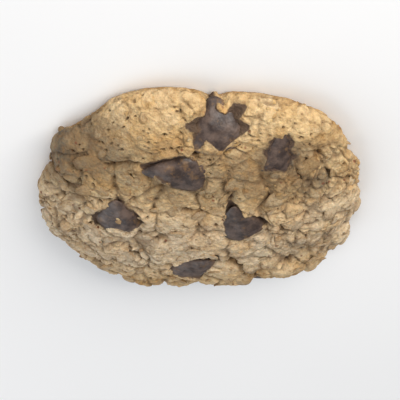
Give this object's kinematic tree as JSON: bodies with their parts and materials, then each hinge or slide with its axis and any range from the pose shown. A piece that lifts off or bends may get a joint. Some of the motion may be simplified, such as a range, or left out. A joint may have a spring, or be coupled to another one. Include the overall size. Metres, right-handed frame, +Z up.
{
  "type": "oatmeal chocolate chip cookie",
  "caption": "Round baked oatmeal cookie with a craggy, cracked crust, oat flakes standing out of it and chocolate chips set in its top, rim and flat base.",
  "frame": {"origin": "middle of the flat base, centred on the cookie's outline", "axes": "+Z up out of the domed top, +Y towards the edge that is uppermost in the picture, +X to the right there"},
  "size_m": [0.0774, 0.0766, 0.0151],
  "materials": {
    "dough": "matt golden brown baked crust, browner at the rim and base, with a crumbly grain",
    "oats": "matt pale toasted oat flake",
    "chocolate": "dark chocolate with a soft satin gloss"
  },
  "bodies": {
    "root": {"cookie": "dough", "chip_top_rim": "chocolate", "chip_top_upper": "chocolate", "chip_top_left": "chocolate", "chip_top_right": "chocolate", "chip_top_lower": "chocolate", "chip_top_far": "chocolate", "chip_rim_left": "chocolate", "chip_rim_right": "chocolate", "chip_rim_far": "chocolate", "chip_base_left": "chocolate", "chip_base_right": "chocolate", "chip_base_near": "chocolate"}
  },
  "joints": []
}
